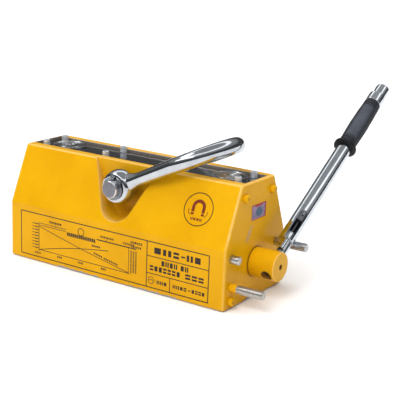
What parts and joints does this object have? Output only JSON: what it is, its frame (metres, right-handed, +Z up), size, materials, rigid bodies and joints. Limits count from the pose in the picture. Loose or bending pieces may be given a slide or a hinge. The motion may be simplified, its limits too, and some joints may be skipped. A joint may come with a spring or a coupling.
{
  "type": "permanent lifting magnet",
  "caption": "Hand-switched permanent lifting magnet: a long steel block with sloping shoulders, a swinging bail and a turning handle with a push latch.",
  "frame": {"origin": "bottom centre of the bounding box at rest, on the plane of the pole faces; the middle of the pole faces is at (-0.022, -0.123, 0)", "axes": "+X along the block towards the handle end, +Z up from the pole faces, front towards -Y; at rest the handle leans towards +Y"},
  "size_m": [0.4366, 0.4109, 0.2647],
  "materials": {
    "yellow_paint": "gloss enamel",
    "polished_plate": "mirror polished stainless steel",
    "chrome_plate": "bright chrome plate",
    "zinc_plate": "bright zinc plate",
    "bare_steel": "turned steel",
    "brass": "machined",
    "magnet": "nickel plated magnet",
    "grip_rubber": "matt ribbed"
  },
  "bodies": {
    "housing": {"bail_pin": "bare_steel", "bottom_spacer": "brass", "bush_drive": "brass", "bush_far": "brass", "circlip_front": "bare_steel", "circlip_rear": "bare_steel", "end_plate_drive": "yellow_paint", "end_plate_far": "yellow_paint", "end_screw_drive_1": "yellow_paint", "end_screw_drive_2": "yellow_paint", "end_screw_drive_3": "yellow_paint", "end_screw_drive_4": "yellow_paint", "end_screw_far_1": "yellow_paint", "end_screw_far_2": "yellow_paint", "end_screw_far_3": "yellow_paint", "end_screw_far_4": "yellow_paint", "fixed_magnet_drive": "magnet", "fixed_magnet_far": "magnet", "front_pole": "yellow_paint", "long_stop_front": "zinc_plate", "long_stop_rear": "zinc_plate", "pin_block": "bare_steel", "rear_pole": "yellow_paint", "short_stop_front": "zinc_plate", "spring_washer_1": "zinc_plate", "spring_washer_2": "zinc_plate", "spring_washer_3": "zinc_plate", "spring_washer_4": "zinc_plate", "spring_washer_5": "zinc_plate", "spring_washer_6": "zinc_plate", "spring_washer_7": "zinc_plate", "spring_washer_8": "zinc_plate", "top_plate": "polished_plate", "top_plug_drive": "polished_plate", "top_plug_far": "polished_plate", "top_screw_1": "zinc_plate", "top_screw_2": "zinc_plate", "top_screw_3": "zinc_plate", "top_screw_4": "zinc_plate", "top_screw_5": "zinc_plate", "top_screw_6": "zinc_plate", "top_screw_7": "zinc_plate", "top_screw_8": "zinc_plate"},
    "rotor": {"core_pole_upper": "bare_steel", "core_pole_lower": "bare_steel", "core_magnet": "magnet", "core_disc_drive": "brass", "core_disc_far": "bare_steel", "drive_hub": "yellow_paint", "handle_shank": "chrome_plate", "handle_tube": "chrome_plate", "latch_guide": "chrome_plate", "spring_seat": "bare_steel", "tip_sleeve": "chrome_plate", "handle_grip": "grip_rubber"},
    "latch": {"latch_rod": "bare_steel", "latch_key": "bare_steel", "latch_knob": "chrome_plate", "latch_spring": "bare_steel"},
    "bail": {"bail": "chrome_plate"}
  },
  "joints": [
    {"name": "handle_turn", "type": "hinge", "parent": "housing", "child": "rotor", "pos_m": [0.19625, -0.12254, 0.0525], "axis": [1, 0, 0], "range_deg": [0, 149]},
    {"name": "latch_push", "type": "slide", "parent": "rotor", "child": "latch", "axis": [0, -0.8471, -0.5314], "range_m": [0, 0.009], "stiffness_N_per_m": 600, "springref_m": -0.01, "deforming": ["latch_spring"]},
    {"name": "bail_swing", "type": "hinge", "parent": "housing", "child": "bail", "pos_m": [-0.02175, -0.12254, 0.136], "axis": [0, -1, 0], "range_deg": [0, 128]}
  ]
}
